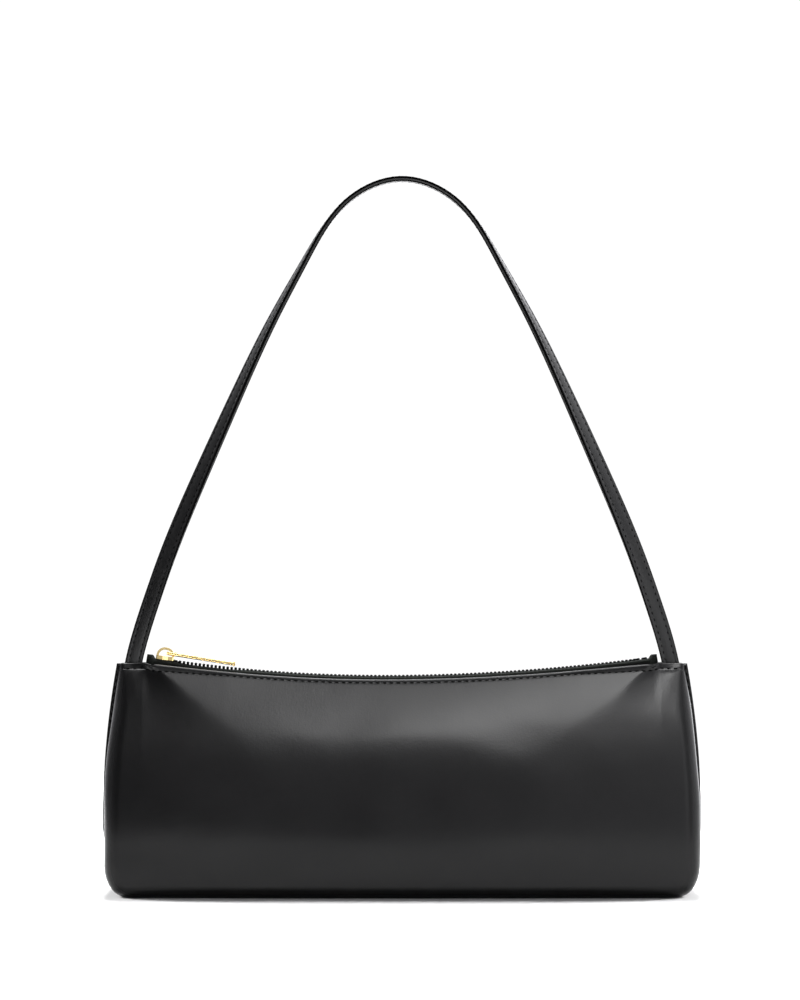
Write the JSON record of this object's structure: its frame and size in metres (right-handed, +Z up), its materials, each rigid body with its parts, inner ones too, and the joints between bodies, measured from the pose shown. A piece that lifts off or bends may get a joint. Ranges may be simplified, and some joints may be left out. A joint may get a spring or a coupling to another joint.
{
  "type": "baguette bag",
  "caption": "Small wedge-shaped leather shoulder bag with a curved zip mouth, a slider with a long pull tab, and a slim strap that twists into an arch.",
  "frame": {"origin": "middle of the base, on the surface that the bag stands on", "axes": "+Z up, +X along the bag towards the open end of the zipper, the front faces -Y"},
  "size_m": [0.299, 0.067, 0.3583],
  "materials": {
    "leather": "smooth, semi-gloss",
    "strap": "smooth, semi-gloss, painted edges",
    "lining": "matt woven",
    "board": "matt",
    "tape": "woven",
    "teeth": "black, satin",
    "gold": "polished light gold"
  },
  "bodies": {
    "bag": {"front_panel": "leather", "back_panel": "leather", "lining_front": "lining", "lining_back": "lining", "base_stiffener": "board", "zipper_tape_front": "tape", "zipper_tape_back": "tape", "zipper_teeth_front": "teeth", "zipper_teeth_back": "teeth", "zipper_top_stops": "teeth", "zipper_bottom_stop": "teeth", "strap_end_left": "strap", "strap_end_right": "strap"},
    "slider": {"slider_body": "gold", "slider_crown": "gold"},
    "pull": {"pull_tab": "gold"},
    "strap": {"strap_outer_ply": "strap", "strap_inner_ply": "strap"}
  },
  "joints": [
    {"name": "slider_travel", "type": "hinge", "parent": "bag", "child": "slider", "pos_m": [0, 0, 0.93017], "axis": [0, -1, 0], "range_deg": [0, 14.2], "deforming": ["zipper_teeth_front", "zipper_teeth_back"]},
    {"name": "pull_swing", "type": "hinge", "parent": "slider", "child": "pull", "pos_m": [-0.11679, 0, 0.11987], "axis": [0, -1, 0], "range_deg": [0, 88]},
    {"name": "strap_swing", "type": "hinge", "parent": "bag", "child": "strap", "pos_m": [0, 0, 0.118], "axis": [1, 0, 0], "range_deg": [-110, 110]}
  ]
}
